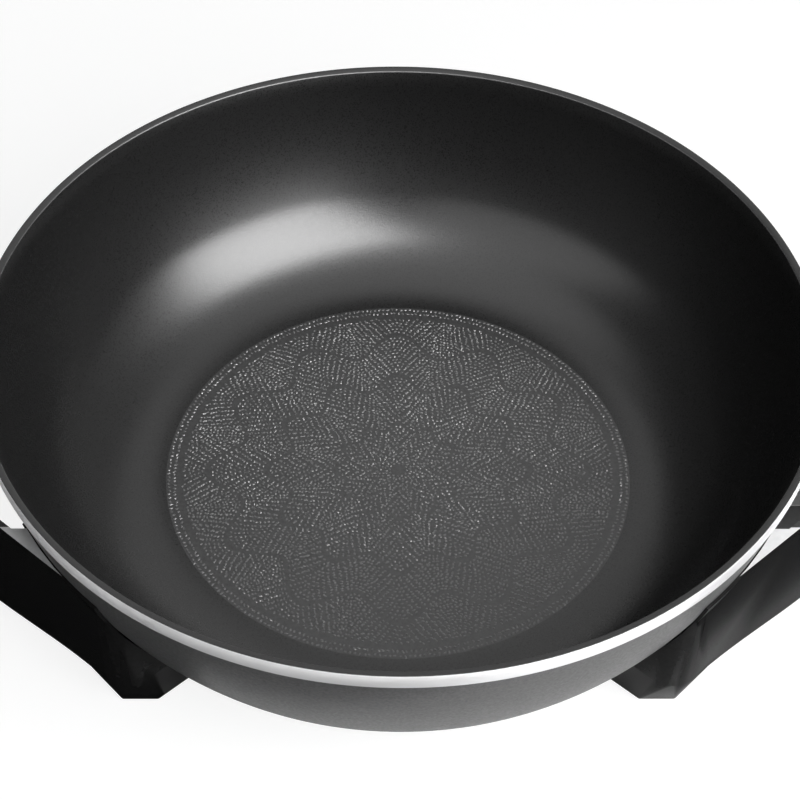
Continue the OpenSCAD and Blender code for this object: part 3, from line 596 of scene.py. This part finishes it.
def flat_first(made):
    """Lets the large faces rule the shading, so that flats look flat beside rounded edges."""
    even = made.modifiers.new("flat_first", "WEIGHTED_NORMAL")
    even.mode = "FACE_AREA"
    even.weight = 50
    even.keep_sharp = True


def rounded(node, width_mm):
    """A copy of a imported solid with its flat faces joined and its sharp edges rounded."""
    bm = bmesh.new()
    bm.from_mesh(nodes[node].data)
    tidy(bm, 0.01)
    bmesh.ops.dissolve_limit(bm, angle_limit=math.radians(2), use_dissolve_boundaries=False,
                             verts=bm.verts[:], edges=bm.edges[:], delimit=set())
    soften(bm, sharp_edges(bm, 28), width_mm)
    tidy(bm)
    return bm


for node in ("left_handle", "right_handle"):
    bm = rounded(node, 0.7)
    for end in (-1, 1):
        bmesh.ops.bisect_plane(bm, geom=bm.verts[:] + bm.edges[:] + bm.faces[:], dist=1e-6,
                               plane_co=(0, end * FINGER_END * MM, 0), plane_no=(0, 1, 0))
    for face in bm.faces:
        mid = face.calc_center_median() / MM
        # Faces that look upwards get the polished finish, whose lighter colour is painted sheen.
        face.material_index = POLISHED_SHEEN if face.normal.z > 0.8 else BLACK
        if face.normal.z > 0.99 and mid.z > WEB_TOP and abs(mid.y) > FINGER_END:
            face.material_index = PLATE
    moulding = piece(node + "_moulding", bm, [phenolic, polished_phenolic_painted_sheen, bright_plate], "wok",
                     40)
    flat_first(moulding)
    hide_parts(node)

# %% [markdown]
# Between the hot pan and each handle runs a narrow air gap. A dark strip lies in it as painted shade, on
# the pan's wall, from the web to the leg. It is a short arc spun from its cross-section and thickened.

# %% Lay painted shade into the gaps
SHADE_STRIP_R = BULGE_OUT + 1.3
SHADE_STRIP_THICK = 1.6
SHADE_STRIP_LOW, SHADE_STRIP_TALL = 24.5, 8.6
SHADE_STRIP_LONG = 18
bm = bmesh.new()
for middle in (217.5, 322.5, 37.5, 142.5):
    part = bmesh.new()
    p = start(part, BULGE[0] + SHADE_STRIP_R, BULGE[1])
    bmesh.ops.rotate(part, verts=[p], cent=(BULGE[0] * MM, 0, BULGE[1] * MM),
                     matrix=Matrix.Rotation(math.radians(SHADE_STRIP_LOW), 3, "Y"))
    arc_to(part, p, *BULGE, SHADE_STRIP_TALL, 4)
    bmesh.ops.rotate(part, verts=part.verts[:], cent=(0, 0, 0),
                     matrix=Matrix.Rotation(math.radians(middle - SHADE_STRIP_LONG / 2), 3, "Z"))
    bmesh.ops.spin(part, geom=part.verts[:] + part.edges[:], cent=(0, 0, 0), axis=(0, 0, 1), dvec=(0, 0, 0),
                   angle=math.radians(SHADE_STRIP_LONG), steps=16, use_merge=False)
    bmesh.ops.recalc_face_normals(part, faces=part.faces[:])
    bmesh.ops.solidify(part, geom=part.faces[:], thickness=SHADE_STRIP_THICK * MM)
    strip = bpy.data.meshes.new("strip")
    part.to_mesh(strip)
    part.free()
    bm.from_mesh(strip)
    bpy.data.meshes.remove(strip)
tidy(bm)
# A black strip that is painted shade in the gap.
piece("gap_painted_shade", bm, [phenolic], "wok")

# %% [markdown]
# ## The temperature control
# Its two shells and its dial are mouldings too, so they are rounded in the same way. Plain printed ticks
# stand round the dial over its three-quarter turn, with a long one where it is off, and a line on the
# finger bar points at them.

# %% Round the control and print its marks
DIAL_X = 178
TICKS, TICK_DEG, TICK_R = 10, -30, 21.6
INK_H = 0.16

for node, body, slot, material, width in (("control_base", "control", "control_plastic", shell_plastic, 0.5),
                                          ("control_cover", "control", "control_plastic", shell_plastic, 0.8),
                                          ("control_dial", "dial", "dial_plastic", dial_plastic, 0.25)):
    shell = piece(node + "_moulding", rounded(node, width), [material], body, 40)
    flat_first(shell)
    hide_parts(node)


def top_of(node):
    return max(v.co.z for v in nodes[node].data.vertices)


def print_mark(bm, place, inner, long, wide):
    """A flat printed mark that starts inner millimetres out from place."""
    mark = Matrix.Translation(((inner + long / 2) * MM, 0, 0))
    size = Matrix.Diagonal((long * MM, wide * MM, INK_H * MM, 1))
    bmesh.ops.create_cube(bm, size=1, matrix=place @ mark @ size)


bm = bmesh.new()
face_of_cover = Matrix.Translation((DIAL_X * MM, 0, top_of("control_cover")))
for i in range(TICKS):
    turn = Matrix.Rotation(math.radians(TICK_DEG * i), 4, "Z")
    print_mark(bm, face_of_cover @ turn, TICK_R, 2.8 if i else 4.2, 0.9)
piece("dial_ticks", bm, [mark_paint], "control")
bm = bmesh.new()
print_mark(bm, Matrix.Translation((DIAL_X * MM, 0, top_of("control_dial"))), 5.5, 10, 1.1)
piece("dial_line", bm, [mark_paint], "dial")

# %% [markdown]
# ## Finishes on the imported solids
# The small pieces are already the right shape, so they only get their finishes.

# %% Assign finishes
FINISHES = (
    (sheath, ("heating_element",)),
    (nickel, ("front_terminal_pin", "rear_terminal_pin")),
    (ceramic, ("front_pin_insulator", "rear_pin_insulator", "thermostat_block")),
    (zinc, ("inlet_guard", "inlet_guard_screws", "handle_screws", "handle_washers", "control_screws")),
    (rubber, ("front_left_foot", "rear_left_foot", "front_right_foot", "rear_right_foot", "cord_gland")),
    (probe_steel, ("sensor_probe", "dial_spindle")),
    (brass, ("front_contact_sleeve", "rear_contact_sleeve", "earth_contact", "moving_contact",
             "fixed_contact")),
    (bimetal, ("bimetal_blade",)),
    (lamp_glass, ("indicator_lamp",)),
    (lens_red, ("indicator_lens",)),
)
for material, names in FINISHES:
    for name in names:
        nodes[name].data.materials.clear()
        nodes[name].data.materials.append(material)
print("finished", sum(len(names) for material, names in FINISHES), "solids")
